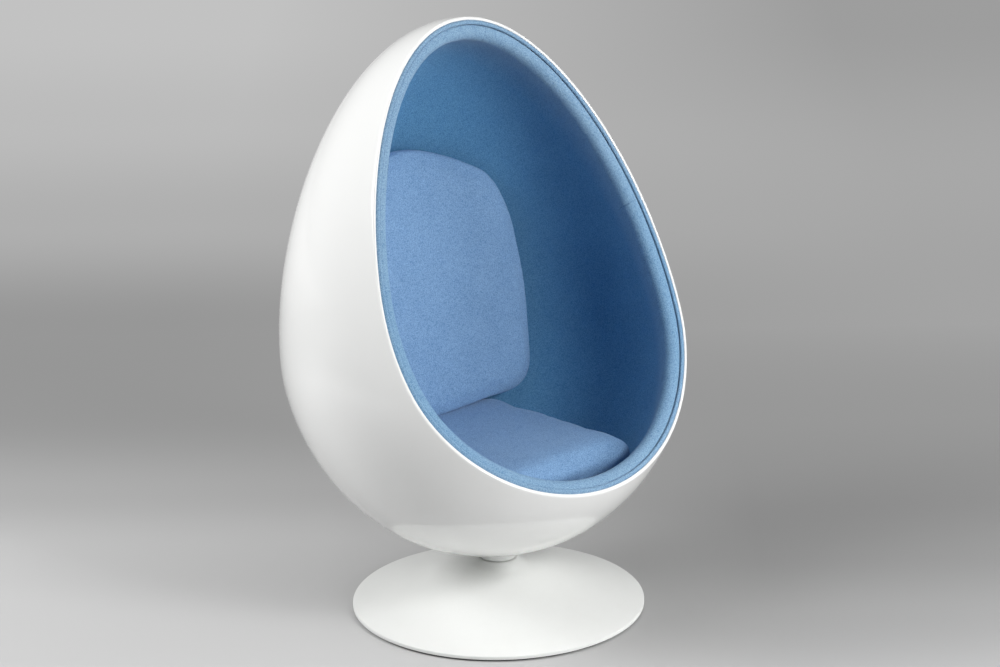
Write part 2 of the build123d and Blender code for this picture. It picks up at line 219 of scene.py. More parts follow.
finishes = {
    "mat": hard_finish("mat_rubber", (0.018, 0.018, 0.018), 0.0, 0.8, 500.0, 0.4),
    "black_steel": hard_finish("black_paint", (0.02, 0.02, 0.022), 0.0, 0.42, 1200.0, 0.2),
    "steel": hard_finish("turned_steel", (0.42, 0.42, 0.44), 1.0, 0.3, settling=0.03, turned=True),
    "zinc_bolts": hard_finish("zinc_plate", (0.6, 0.6, 0.57), 1.0, 0.35, 1500.0, 0.1, 0.03),
    "ball_steel": hard_finish("polished_steel", (0.7, 0.7, 0.72), 1.0, 0.08, 1500.0, 0.01, 0.0),
    "bronze": hard_finish("sintered_bronze", (0.42, 0.27, 0.11), 1.0, 0.45, 2500.0, 0.3, 0.0),
    "nylon": hard_finish("natural_nylon", (0.6, 0.58, 0.52), 0.0, 0.45, 900.0, 0.05, 0.05),
}


ply_pair = 0.003


def make_plywood():
    """Birch plywood: plies seen as bands on the edge, and a long faint grain on the faces."""
    material, shader, add, feed = new_finish("plywood")
    where = add("TexCoord").outputs["Object"]
    apart = add("SeparateXYZ", Vector=where).outputs
    phase = work(add, "MULTIPLY", apart["Z"], 2 * pi / ply_pair)
    ply = work(add, "SINE", phase)
    stretched = add("Mapping", Vector=where, Scale=(12, 260, 60)).outputs[0]
    grain = add("TexNoise", Vector=stretched, Scale=1.0, Detail=6.0).outputs["Fac"]
    plied = work(add, "MULTIPLY_ADD", ply, 0.18, grain)
    tone = add("ValToRGB", i0=plied)
    tone.color_ramp.elements[0].color = (0.32, 0.19, 0.09, 1)
    tone.color_ramp.elements[1].color = (0.62, 0.44, 0.24, 1)
    feed("Base Color", tone.outputs[0])
    feed("Roughness", add("MapRange", i0=grain, i3=0.5, i4=0.7).outputs[0])
    feed("Normal", add("Bump", Strength=0.2, Distance=0.0004, Height=grain).outputs[0])
    return material


finishes["plywood"] = make_plywood()
for entry in frame["record"]["subparts"]:
    if entry["material_slot"] in finishes:
        node = frame["nodes"][entry["node"]]
        node.data.materials.clear()
        node.data.materials.append(finishes[entry["material_slot"]])

# Base cone. A disc of steel spun over a former into a low cone that flares up into a neck, with its edge
# turned down into a hem, and powder coated white. It drops over the stem and hides the plate. The hub
# collar above it has the same coat.
base_radius = 0.321
cone_wall = 0.0025
cone_hem, cone_rim_round = 0.004, 0.003
cone_slope = radians(17.93)
neck_radius, neck_top, neck_edge_round = 0.042, 0.110, 0.001
neck_slope = radians(48)
flare_radius = 0.058
lip_radius = 0.024


def take_up(piece):
    """Selects this piece and no other, and works on it."""
    bpy.ops.object.select_all(action="DESELECT")
    piece.select_set(True)
    bpy.context.view_layer.objects.active = piece


def pick_none(kind):
    """Leaves no vertex, edge or face of the piece in hand selected."""
    bpy.ops.object.mode_set(mode="EDIT")
    bpy.ops.mesh.select_mode(type=kind)
    bpy.ops.mesh.select_all(action="DESELECT")
    bpy.ops.object.mode_set(mode="OBJECT")


def close_up(merge=0.0):
    """Merges points of the piece in hand closer than this, and turns its faces outwards."""
    bpy.ops.object.mode_set(mode="EDIT")
    bpy.ops.mesh.select_all(action="SELECT")
    if merge:
        bpy.ops.mesh.remove_doubles(threshold=merge)
    bpy.ops.mesh.normals_make_consistent(inside=False)
    bpy.ops.object.mode_set(mode="OBJECT")


def finish_piece(piece, body, angle=40.0):
    """Smooth shading, the body that the piece rides on, and nothing left selected."""
    take_up(piece)
    bpy.ops.object.shade_smooth_by_angle(angle=radians(angle))
    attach(piece, body)
    bpy.ops.object.select_all(action="DESELECT")


def line_up(name, points, closed):
    """An edge loop through these points, ready to be spun."""
    bpy.ops.object.select_all(action="DESELECT")
    bpy.ops.mesh.primitive_circle_add(vertices=len(points), radius=0.01, fill_type="NOTHING")
    piece = bpy.context.object
    piece.name = name
    for vertex, point in zip(piece.data.vertices, points):
        vertex.co = point
    if not closed:
        pick_none("VERT")
        piece.data.vertices[0].select = piece.data.vertices[len(points) - 1].select = True
        bpy.ops.object.mode_set(mode="EDIT")
        bpy.ops.mesh.delete(type="EDGE")
        bpy.ops.object.mode_set(mode="OBJECT")
    return piece


def spin_round(centre, axis, steps):
    """Spins the loop in hand all the way round an axis, and joins the ends."""
    bpy.ops.object.mode_set(mode="EDIT")
    bpy.ops.mesh.select_all(action="SELECT")
    bpy.ops.mesh.spin(steps=steps, angle=2 * pi, center=centre, axis=axis)
    bpy.ops.object.mode_set(mode="OBJECT")
    close_up(2e-6)


def arc(centre, radius, start, end, count):
    """Points on an arc, by angle from the outward direction, anticlockwise."""
    turns = [start + (end - start) * k / count for k in range(count + 1)]
    return [(centre[0] + radius * cos(t), centre[1] + radius * sin(t)) for t in turns]


def cone_line(inset):
    """The cone's outline from its neck to its rim, this far inside its face."""
    radius, edge, top = flare_radius + inset, base_radius - inset, neck_top - inset
    centre = (neck_radius + flare_radius * sin(neck_slope), neck_top + flare_radius * cos(neck_slope))
    neck_turn = pi + np.arcsin((centre[1] - top) / radius)
    flare = arc(centre, radius, neck_turn, 1.5 * pi - cone_slope, 18)
    foot = flare[-1]
    corner = (edge, foot[1] - (edge - foot[0]) * np.tan(cone_slope))
    round_radius = max(cone_rim_round - inset, 0.0005)
    reach = round_radius * np.tan((pi / 2 - cone_slope) / 2)
    rim = arc((edge - round_radius, corner[1] - reach), round_radius, pi / 2 - cone_slope, 0, 6)
    slope = [
        (foot[0] + (rim[0][0] - foot[0]) * k / 14, foot[1] + (rim[0][1] - foot[1]) * k / 14)
        for k in range(1, 14)
    ]
    return flare + slope + rim


outside, inside = cone_line(0), cone_line(cone_wall)
lip = [
    (lip_radius, neck_top - cone_wall),
    (lip_radius, neck_top - 0.0006),
    (lip_radius + 0.0006, neck_top),
    (neck_radius - neck_edge_round, neck_top),
    (neck_radius - neck_edge_round * 0.3, neck_top - neck_edge_round * 0.3),
]
hem = [
    (base_radius, cone_hem + 0.0008),
    (base_radius - 0.0008, cone_hem),
    (base_radius - cone_wall + 0.0008, cone_hem),
    (base_radius - cone_wall, cone_hem + 0.0008),
]
outline = lip + outside[1:] + hem + inside[::-1]
base_cone = line_up("base_cone_spun", [(r, 0, z) for r, z in outline], True)
spin_round((0, 0, 0), (0, 0, 1), 224)
finish_piece(base_cone, "base")


def make_powder_white():
    """White powder coat: satin, a fine orange peel, a trace of dust on top."""
    material, shader, add, feed = new_finish("powder_white")
    white = (0.76, 0.77, 0.755, 1)
    drift = add("Group", {"node_tree": mottle}, Color=white, Scale=3.0, Spread=0.01)
    mask = add("Group", {"node_tree": dust}, Amount=0.08, Scale=14.0).outputs["Mask"]
    tone = add("Mix", {"data_type": "RGBA"}, i0=mask, i6=drift.outputs["Color"], i7=settled_dust)
    rough = add("MapRange", i0=drift.outputs["Mask"], i1=0.3, i2=0.7, i3=0.42, i4=0.5)
    height = add("Group", {"node_tree": peel}, Scale=1300.0, Coarse=0.8).outputs["Height"]
    feed("Base Color", tone.outputs[2])
    feed("Roughness", rough.outputs[0])
    feed("Normal", add("Bump", Strength=0.1, Distance=0.0003, Height=height).outputs[0])
    return material


powder_white = make_powder_white()
base_cone.data.materials.append(powder_white)
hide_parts("base_cone")
frame["nodes"]["swivel_hub"].data.materials.clear()
frame["nodes"]["swivel_hub"].data.materials.append(powder_white)

# Shell. A glass-fibre egg moulded in one piece, seven millimetres thick, with white gelcoat polished on
# the outside. The opening is cut along a line that scoops forward at the bottom, and its edge is
# rounded. It stands on the hub, with four bolts going down through it from the inside.
egg_radius, egg_length, egg_waist = 0.445, 1.1675, 0.457
foot_fullness, waist_below, waist_above, crown_fullness = 0.313, 0.162, 0.288, 0.253
egg_lean = radians(6.3)
foot_y, foot_z = -0.022, 0.139
rim_lean = radians(21.6)
rim_forward, scoop_start, scoop_radius = 0.187, 0.174, 1.753
rim_steps = np.linspace(-1.2, 1.2, 4801)
shell_wall, shell_edge_round = 0.007, 0.003


def egg_profile(inset):
    """Heights along the egg's axis, and the radii there, this far inside the shell's face."""
    t = np.linspace(0, 1, 600)
    radius, top = egg_radius - inset, egg_length - inset
    across = radius / egg_radius
    below = (egg_waist - inset) / egg_waist
    above = (top - egg_waist) / (egg_length - egg_waist)

    def curve(a, b, c, d):
        return a * (1 - t) ** 3 + 3 * b * t * (1 - t) ** 2 + 3 * c * t**2 * (1 - t) + d * t**3

    heights = [
        curve(inset, inset, egg_waist - waist_below * below, egg_waist),
        curve(egg_waist, egg_waist + waist_above * above, top, top),
    ]
    radii = [
        curve(0, foot_fullness * across, radius, radius),
        curve(radius, radius, crown_fullness * across, 0),
    ]
    return np.concatenate(heights), np.concatenate(radii)


def along_egg(y, z):
    """Height along the egg's axis, and distance behind the axis, of points in the middle plane."""
    height = (y - foot_y) * sin(egg_lean) + (z - foot_z) * cos(egg_lean)
    return height, (y - foot_y) * cos(egg_lean) - (z - foot_z) * sin(egg_lean)


def opening(along_rim, setback):
    """Points (y, z) of the opening's surface in the middle plane, moved back into the egg."""
    waist_y, waist_z = foot_y + egg_waist * sin(egg_lean), foot_z + egg_waist * cos(egg_lean)
    radius = scoop_radius + setback
    turn = np.minimum(along_rim, 0) / radius
    out = rim_forward - setback + radius * (1 - np.cos(turn))
    rise = scoop_start + np.maximum(along_rim, 0) + radius * np.sin(turn)
    y = waist_y - cos(rim_lean) * out + sin(rim_lean) * rise
    return y, waist_z + sin(rim_lean) * out + cos(rim_lean) * rise


def half_width_squared(profile, along_rim, setback):
    """The square of the egg's half width on the opening's surface, negative outside the egg."""
    height, aside = along_egg(*opening(along_rim, setback))
    radius = np.interp(height, *profile, left=-1, right=-1)
    return radius * np.abs(radius) - aside**2


def rim_loop(inset, setback, turns):
    """A closed line round the egg, parallel to the rim: from its top, over the sitter's left side."""
    profile = egg_profile(inset)
    inside = half_width_squared(profile, rim_steps, setback)
    found = np.nonzero(inside > 0)[0]
    first, last = found[0], found[-1]
    low = np.interp(0, inside[first - 1 : first + 1], rim_steps[first - 1 : first + 1])
    high = np.interp(0, inside[last : last + 2][::-1], rim_steps[last : last + 2][::-1])
    along_rim = (low + high) / 2 + (high - low) / 2 * np.cos(turns)
    half_width = np.sqrt(np.maximum(half_width_squared(profile, along_rim, setback), 0))
    y, z = opening(along_rim, setback)
    return np.stack([half_width * np.sign(np.round(np.sin(turns), 9)), y, z], axis=1)


def deepest(inset):
    """How far back the opening's surface goes before it leaves the egg."""
    profile = egg_profile(inset)
    low, high = 0.3, 1.2
    for _ in range(40):
        middle = (low + high) / 2
        if (half_width_squared(profile, rim_steps, middle) > 0).sum() > 4:
            low = middle
        else:
            high = middle
    return low


def to_the_back(inset, start, count):
    """Points (inset, setback) from one setback to the pole at the back of the egg."""
    end = deepest(inset)
    turns = np.linspace(np.arcsin(start / end), pi / 2, count)
    return [(inset, float(end * np.sin(t))) for t in turns]


def move_points(piece, points):
    """Puts the piece's points at these places."""
    piece.data.vertices.foreach_set("co", points.astype(np.float32).ravel())
    piece.data.update()


def egg_skin(name, path, turns, relief=None):
    """A piece that follows the rim: a path of (inset, setback) points, swept round the opening.
    Relief gives how far each point stands proud of the smooth surface."""
    bpy.ops.object.select_all(action="DESELECT")
    columns, rows = len(turns) - 1, len(path) - 1
    bpy.ops.mesh.primitive_grid_add(x_subdivisions=columns, y_subdivisions=rows, size=1)
    piece = bpy.context.object
    piece.name = name
    places = np.array([rim_loop(inset, setback, turns) for inset, setback in path])
    if relief is not None:
        run = np.gradient(places, axis=0)
        around = np.gradient(places, axis=1)
        around[:, 0] = around[:, -1] = places[:, 1] - places[:, -2]
        outwards = np.cross(run, around)
        outwards /= np.maximum(np.linalg.norm(outwards, axis=2, keepdims=True), 1e-12)
        places = places + outwards * relief(places)[:, :, None]
    move_points(piece, places)
    close_up(2e-5)
    return piece


quarter = [radians(a) for a in range(0, 91, 15)]
edge = shell_edge_round
shell_path = (
    to_the_back(0, edge + 0.004, 90)[::-1]
    + [(edge * (1 - cos(a)), edge * (1 - sin(a))) for a in quarter]
    + [(shell_wall - edge * (1 - sin(a)), edge * (1 - cos(a))) for a in quarter]
    + to_the_back(shell_wall, edge + 0.006, 40)
)
shell = egg_skin("shell_moulded", shell_path, np.linspace(0, 2 * pi, 289))
finish_piece(shell, "pod")


def make_gelcoat():
    """Polished gelcoat: white, faintly uneven from the mould, under a hard gloss."""
    material, shader, add, feed = new_finish("gelcoat_white")
    white = (0.85, 0.855, 0.845, 1)
    drift = add("Group", {"node_tree": mottle}, Color=white, Scale=2.2, Spread=0.006)
    rough = add("MapRange", i0=drift.outputs["Mask"], i1=0.3, i2=0.7, i3=0.3, i4=0.38)
    where = add("TexCoord").outputs["Object"]
    swell = add("TexNoise", Vector=where, Scale=5.0, Detail=1.0).outputs["Fac"]
    feed("Base Color", drift.outputs["Color"])
    feed("Roughness", rough.outputs[0])
    feed("Normal", add("Bump", Strength=0.04, Distance=0.002, Height=swell).outputs[0])
    shader.inputs["Specular IOR Level"].default_value = 0.25
    shader.inputs["Coat Weight"].default_value = 1.0
    shader.inputs["Coat IOR"].default_value = 1.95
    shader.inputs["Coat Roughness"].default_value = 0.012
    return material


shell.data.materials.append(make_gelcoat())
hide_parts("shell")

# Welt. A cord covered in the lining's wool, laid just inside the shell's edge all round the opening,
# where it closes the joint between the shell and the padding. It is stapled and glued.
welt_radius, welt_inset, welt_setback = 0.0046, 0.0116, 0.0032
blue_dark, blue_light = (0.125, 0.237, 0.385), (0.290, 0.435, 0.575)
wool_knots = 430.0
# Painted shade on the lining: along the inward direction, from the first depth to the second, the dye is
# multiplied more and more by this tint, standing in for the shade deep inside the shell.
inwards, shade_starts, shade_full = (0, 0.883, -0.469), -0.476, -0.36
painted_shade_tint = (0.52, 0.83, 1.0)


def make_weave():
    """Felted wool cloth: small knots of yarn under a fuzz of fibres, dyed a little unevenly."""
    tree, given, give, add = new_effect(
        "weave",
        {"Dark": (*blue_dark, 1), "Light": (*blue_light, 1), "Knots": wool_knots},
        {"Color": "Color", "Height": "Float", "Roughness": "Float"},
    )
    where = add("TexCoord").outputs["Object"]
    knots = add("TexVoronoi", Vector=where, Scale=given["Knots"]).outputs["Distance"]
    fuzz = add("TexNoise", Vector=where, Scale=1500.0, Detail=3.0, Roughness=0.7).outputs["Fac"]
    dye = add("TexNoise", Vector=where, Scale=380.0, Detail=4.0, Roughness=0.75).outputs["Fac"]
    slow = add("TexNoise", Vector=where, Scale=14.0, Detail=5.0, Roughness=0.6).outputs["Fac"]
    tone = work(add, "MULTIPLY_ADD", knots, -0.5, dye)
    drift = work(add, "MULTIPLY_ADD", slow, 0.15, tone)
    mix = add("MapRange", i0=drift, i1=0.12, i2=0.56, i3=0.0, i4=1.0).outputs[0]
    color = add("Mix", {"data_type": "RGBA"}, i0=mix, i6=given["Dark"], i7=given["Light"])
    give("Color", color.outputs[2])
    give("Height", work(add, "SUBTRACT", fuzz, knots))
    give("Roughness", add("MapRange", i0=fuzz, i3=0.8, i4=1.0).outputs[0])
    return tree


weave = make_weave()


def wool(name, dark, light, painted_shade=None):
    """The wool cloth in one dye, with the soft edge glow of its fibres. If a shade tint is given, the
    dye is multiplied towards it the deeper a point lies inside the shell: painted shade, darker and
    bluer, standing in for the shade there."""
    material, shader, add, feed = new_finish(name)
    cloth = add("Group", {"node_tree": weave}, Dark=(*dark, 1), Light=(*light, 1), Knots=wool_knots)
    dye_and_painted_shade = cloth.outputs["Color"]
    # Painted shade: deeper inside the shell the dye is multiplied towards the shade tint, darker and
    # bluer.
    if painted_shade:
        where = add("TexCoord").outputs["Object"]
        depth = add("VectorMath", {"operation": "DOT_PRODUCT"}, i0=where, i1=inwards)
        inside = add("MapRange", i0=depth.outputs["Value"], i1=shade_starts, i2=shade_full).outputs[0]
        kept = {"data_type": "RGBA", "blend_type": "MULTIPLY"}
        dye_and_painted_shade = add("Mix", kept, i0=inside, i6=dye_and_painted_shade, i7=(*painted_shade, 1)).outputs[2]
    feed("Base Color", dye_and_painted_shade)
    feed("Roughness", cloth.outputs["Roughness"])
    lift = add("Bump", Strength=0.6, Distance=0.0006, Height=cloth.outputs["Height"])
    feed("Normal", lift.outputs[0])
    shader.inputs["Sheen Weight"].default_value = 0.2
    shader.inputs["Sheen Roughness"].default_value = 0.45
    shader.inputs["Sheen Tint"].default_value = (0.75, 0.86, 1.0, 1)
    shader.inputs["Specular IOR Level"].default_value = 0.2
    return material


blue_wool = wool("blue_wool", blue_dark, blue_light, painted_shade_tint)
around_welt = [2 * pi * k / 14 for k in range(15)]
welt_path = [
    (welt_inset + welt_radius * cos(t), welt_setback - welt_radius * sin(t)) for t in around_welt
]


def gathered(places):
    """Small unevenness along the cord, where its cover is gathered."""
    return 0.00035 * np.array([[noise.noise(Vector(p) * 60) for p in row] for row in places])


welt = egg_skin("welt_cord", welt_path, np.linspace(0, 2 * pi, 577), gathered)
finish_piece(welt, "pod", 180)
welt.data.materials.append(blue_wool)
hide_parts("rim_welt")

# Padded lining. Wool cloth stretched over a firm foam roll behind the rim and over softer foam glued to
# the walls. The cloth is pulled over the roll, which gathers it into short creases across the edge, and
# two darts take up its fullness: one beside the top and one on the sitter's left.
padding_back = 0.0078
roll_start, roll_setback, roll_radius, roll_inset = 0.0222, 0.0030, 0.0278, 0.0500
wall_inset, wall_from = 0.0430, 0.105
dart_depth, dart_width, dart_puff = 0.0020, 0.0017, 0.0016
crease_seed, crease_count = 7, 210
foam_swell = 0.0011

roll_turns = [radians(a) for a in np.linspace(0, 90, 17)]
roll_end = roll_setback + roll_radius
eased = np.linspace(0, 1, 15)[1:]
lining_path = (
    to_the_back(padding_back, 0.020, 20)[::-1]
    + [(padding_back, 0.0100), (0.0120, 0.0092), (0.0166, 0.0090), (0.0168, 0.0062)]
    + [(0.0174, 0.0044), (0.0186, 0.0034), (0.0202, 0.0030)]
    + [
        (roll_start + roll_radius * sin(t), roll_setback + roll_radius * (1 - cos(t)))
        for t in roll_turns
    ]
    + [
        (
            roll_inset - (roll_inset - wall_inset) * (1 - cos(pi * t)) / 2,
            roll_end + (wall_from - roll_end) * t,
        )
        for t in eased
    ]
    + to_the_back(wall_inset, wall_from + 0.006, 56)
)
front_row = lining_path.index((0.0202, 0.0030))
crest_row = front_row + 12
even_turns = np.linspace(0, 2 * pi, 673)
crest = rim_loop(*lining_path[crest_row], even_turns)
top_dart = float(np.interp(0.067, crest[:168, 0], even_turns[:168]))
side_dart = float(np.interp(-0.852, -crest[:336, 2], even_turns[:336]))
fine = np.linspace(-0.02, 0.02, 31)
lining_turns = np.unique(np.concatenate([even_turns, top_dart + fine, side_dart + fine]))


def lining_relief(places):
    """Creases and darts across the roll, and slow unevenness of the wall foam."""
    steps = np.linalg.norm(np.diff(places[crest_row], axis=0), axis=1)
    length = np.concatenate([[0], np.cumsum(steps)])
    steps = np.linalg.norm(np.diff(places[:, 180], axis=0), axis=1)
    run = np.concatenate([[0], np.cumsum(steps)])
    run -= run[front_row]
    proud = np.zeros(places.shape[:2])
    shaker = np.random.RandomState(crease_seed)
    for _ in range(crease_count):
        at = shaker.uniform(0, length[-1])
        lively = 1.0 if 0.06 < at / length[-1] < 0.62 else 0.4
        depth = lively * shaker.uniform(0.00015, 0.0009)
        width = shaker.uniform(0.0025, 0.006)
        middle, reach = shaker.uniform(0.030, 0.058), shaker.uniform(0.010, 0.024)
        slant = shaker.uniform(-0.25, 0.25)
        near = np.exp(-(((run - middle) / reach) ** 2))
        for row in np.nonzero((near > 0.02) & (run > 0))[0]:
            apart = length - at - slant * (run[row] - middle)
            proud[row] -= depth * near[row] * np.exp(-((apart / width) ** 2))
    for turn, reach, strength in ((top_dart, 0.050, 0.35), (side_dart, 0.090, 1.0)):
        apart = length - np.interp(turn, lining_turns, length)
        groove = dart_depth * np.exp(-((apart / dart_width) ** 2))
        puff = dart_puff * np.exp(-(((np.abs(apart) - 0.010) / 0.009) ** 2))
        for row in np.nonzero((run > -0.001) & (run < reach))[0]:
            fade = min(1.0, (run[row] + 0.001) / 0.006) * min(1.0, (reach - run[row]) / 0.04)
            proud[row] += strength * fade * (puff - groove)
    last = len(places) - 1
    for row in np.nonzero(run > 0.004)[0]:
        soft = min(1.0, (run[row] - 0.004) / 0.05) * min(1.0, (last - row) / 8)
        swell = [noise.noise(Vector(p) * 7.0) for p in places[row]]
        ripple = [noise.noise(Vector(p) * 23) for p in places[row]]
        proud[row] += foam_swell * soft * (np.array(swell) + 0.4 * np.array(ripple))
    proud[:, 0] = proud[:, -1] = (proud[:, 0] + proud[:, -1]) / 2
    return proud


seat_height, seat_slope = 0.386, radians(2.3)
deck_drop, deck_cloth = 0.0766, 0.002
deck_up = Vector((0, sin(seat_slope), cos(seat_slope)))
deck_middle = Vector((0, 0, seat_height)) - deck_up * deck_drop


def cut_away(piece, point, normal, keep_above):
    """Cuts the piece along a plane, keeps one side, and closes the cut."""
    take_up(piece)
    bpy.ops.object.mode_set(mode="EDIT")
    bpy.ops.mesh.select_all(action="SELECT")
    bpy.ops.mesh.bisect(
        plane_co=point,
        plane_no=normal,
        use_fill=True,
        clear_inner=keep_above,
        clear_outer=not keep_above,
    )
    bpy.ops.object.mode_set(mode="OBJECT")
    close_up()


lining = egg_skin("padded_lining", lining_path, lining_turns, lining_relief)
cut_away(lining, deck_middle + deck_up * 0.0003, deck_up, True)
finish_piece(lining, "pod", 180)
lining.data.materials.append(blue_wool)
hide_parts("lining_cover", "rim_roll_foam", "wall_foam")

# Seat deck. Firm foam cut to fill the bottom of the egg, hollow over the mount, with a disc of the same
# wool glued on top. The seat cushion lies on it.
mount_room_radius, mount_room_top = 0.094, 0.1783
deck_clearance = 0.0005


def make_foam_finish():
    """Open-cell foam: cream, matt, full of small pores."""
    material, shader, add, feed = new_finish("cut_foam")
    cream = (0.72, 0.66, 0.47, 1)
    drift = add("Group", {"node_tree": mottle}, Color=cream, Scale=9.0, Spread=0.06)
    where = add("TexCoord").outputs["Object"]
    pores = add("TexVoronoi", Vector=where, Scale=700.0).outputs["Distance"]
    feed("Base Color", drift.outputs["Color"])
    feed("Roughness", add("MapRange", i0=pores, i3=0.85, i4=1.0).outputs[0])
    feed("Normal", add("Bump", Strength=0.5, Distance=0.0006, Height=pores).outputs[0])
    return material


heights, radii = egg_profile(padding_back)
picked = np.linspace(0, (heights < 0.26).sum() - 1, 30).astype(int)
axis = Vector((0, sin(egg_lean), cos(egg_lean)))
behind_axis = Vector((0, cos(egg_lean), -sin(egg_lean)))
foot = Vector((0, foot_y, foot_z))
outline = [foot + axis * heights[k] + behind_axis * radii[k] for k in picked]
deck = line_up("seat_deck_foam", outline, False)
spin_round(foot, axis, 128)
bpy.ops.object.mode_set(mode="EDIT")
bpy.ops.mesh.select_all(action="DESELECT")
bpy.ops.mesh.select_non_manifold()
bpy.ops.mesh.edge_face_add()
bpy.ops.object.mode_set(mode="OBJECT")
cut_away(deck, deck_middle, deck_up, False)
bpy.ops.mesh.primitive_cylinder_add(
    vertices=96,
    radius=mount_room_radius,
    depth=mount_room_top - 0.1,
    location=(0, 0, (mount_room_top + 0.1) / 2),
)
hollow = bpy.context.object
cut = deck.modifiers.new("mount_room", "BOOLEAN")
cut.operation, cut.object, cut.solver = "DIFFERENCE", hollow, "EXACT"
bpy.context.view_layer.objects.active = deck
bpy.ops.object.modifier_apply(modifier="mount_room")
bpy.data.objects.remove(hollow)
finish_piece(deck, "pod", 30)
deck.data.materials.append(make_foam_finish())
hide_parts("seat_deck")


def points_of(piece):
    """The piece's points, one row each."""
    places = np.empty(len(piece.data.vertices) * 3, np.float32)
    piece.data.vertices.foreach_get("co", places)
    return places.reshape(-1, 3).astype(float)


def kept_inside(points, profile):
    """Points moved in towards the egg's axis wherever they would be outside the profile."""
    height, aside = along_egg(points[:, 1], points[:, 2])
    reach = np.hypot(points[:, 0], aside)
    share = np.minimum(1, np.interp(height, *profile) / np.maximum(reach, 1e-9))
    moved = aside * (share - 1)
    return np.stack(
        [
            points[:, 0] * share,
            points[:, 1] + moved * cos(egg_lean),
            points[:, 2] - moved * sin(egg_lean),
        ],
        axis=1,
    )


bpy.ops.mesh.primitive_cylinder_add(vertices=160, radius=0.5, depth=deck_cloth)
deck_cover = bpy.context.object
deck_cover.name = "deck_cloth"
cloth_place = Matrix.Translation(deck_middle + deck_up * (deck_cloth / 2))
deck_cover.data.transform(cloth_place @ Matrix.Rotation(-seat_slope, 4, "X"))
flat = points_of(deck_cover)
trimmed = kept_inside(flat, egg_profile(wall_inset + deck_clearance))
sunk = (flat - trimmed) @ np.array(deck_up)
move_points(deck_cover, trimmed + sunk[:, None] * np.array(deck_up))
finish_piece(deck_cover, "pod", 30)
deck_cover.data.materials.append(blue_wool)
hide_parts("deck_cover")

# Seat cushion. A foam block in a sewn wool cover without piping, wider at the back, its sides drawn in a
# little between the corners and its front edge soft. It lies loose on the deck.
seat_thickness = 0.074
seat_outline = [
    (0, -0.2330), (0.070, -0.2345), (0.135, -0.2365), (0.168, -0.2340),
    (0.190, -0.2190), (0.2000, -0.1900), (0.1985, -0.1000), (0.1975, 0.0000),
    (0.200, 0.1000), (0.2040, 0.1600), (0.2060, 0.2000), (0.200, 0.2280),
    (0.183, 0.2450), (0.157, 0.2495), (0.080, 0.2475), (0, 0.2465),
]
seat_levels = [
    (-0.0015, 1, 0.0045), (-0.030, 1, 0.0035), (-0.052, 0.975, 0.0035), (-0.0725, 0.90, 0.0035),
]
seat_round_top, seat_round_foot, seat_swell = 0.020, 0.012, 0.009
seat_front, seat_front_run, seat_front_drop, seat_side = -0.150, 0.082, 0.012, 0.06
seat_seam = -0.0575
rest_gap, wall_gap = 0.0006, 0.0030
cushion_voxel, cushion_frames, cushion_pressure = 0.006, 20, 3.0
blue_cushion_dark, blue_cushion_light = (0.118, 0.238, 0.425), (0.268, 0.428, 0.650)


def smooth_outline(half, count):
    """Evenly spaced points on a smooth closed line through the half's points and their mirror."""
    whole = np.array(half + [(-x, y) for x, y in half[-2:0:-1]])
    a, b, c, d = (np.roll(whole, shift, axis=0) for shift in (1, 0, -1, -2))
    t = np.linspace(0, 1, 12, endpoint=False)[:, None, None]
    bent = (2 * a - 5 * b + 4 * c - d) * t**2 + (3 * b - a - 3 * c + d) * t**3
    fine = (b + ((c - a) * t + bent) / 2).transpose(1, 0, 2).reshape(-1, 2)
    fine = np.vstack([fine, fine[:1]])
    length = np.concatenate([[0], np.cumsum(np.linalg.norm(np.diff(fine, axis=0), axis=1))])
    even = np.linspace(0, length[-1], count, endpoint=False)
    return np.stack([np.interp(even, length, fine[:, k]) for k in (0, 1)], axis=1)


def cushion_block(name, outline, levels, round_top, round_foot):
    """A block with this outline at each of the levels (height, share, inset), its edges rounded."""
    bpy.ops.object.select_all(action="DESELECT")
    bpy.ops.mesh.primitive_circle_add(vertices=len(outline), radius=1, fill_type="NGON")
    piece = bpy.context.object
    piece.name = name
    ahead = np.roll(outline, -1, axis=0) - np.roll(outline, 1, axis=0)
    outwards = np.stack([ahead[:, 1], -ahead[:, 0]], axis=1)
    outwards /= np.linalg.norm(outwards, axis=1, keepdims=True)
    loops = [outline * share - outwards * inset for _, share, inset in levels]
    for vertex, point in zip(piece.data.vertices, loops[0]):
        vertex.co = (*point, levels[0][0])
    for k in range(1, len(levels)):
        pick_none("FACE")
        min(piece.data.polygons, key=lambda face: face.center.z).select = True
        bpy.ops.object.mode_set(mode="EDIT")
        drop = (0, 0, levels[k][0] - levels[k - 1][0])
        bpy.ops.mesh.extrude_region_move(TRANSFORM_OT_translate={"value": drop})
        bpy.ops.object.mode_set(mode="OBJECT")
        for vertex in [v for v in piece.data.vertices if v.select]:
            apart = np.hypot(*(loops[k - 1] - np.array(vertex.co[:2])).T)
            vertex.co.x, vertex.co.y = loops[k][int(np.argmin(apart))]
    for height, radius in ((levels[0][0], round_top), (levels[-1][0], round_foot)):
        pick_none("VERT")
        for vertex in piece.data.vertices:
            vertex.select = abs(vertex.co.z - height) < 1e-5
        bpy.ops.object.mode_set(mode="EDIT")
        bpy.ops.mesh.bevel(offset=radius, segments=5, affect="EDGES")
        bpy.ops.object.mode_set(mode="OBJECT")
        close_up()
    return piece


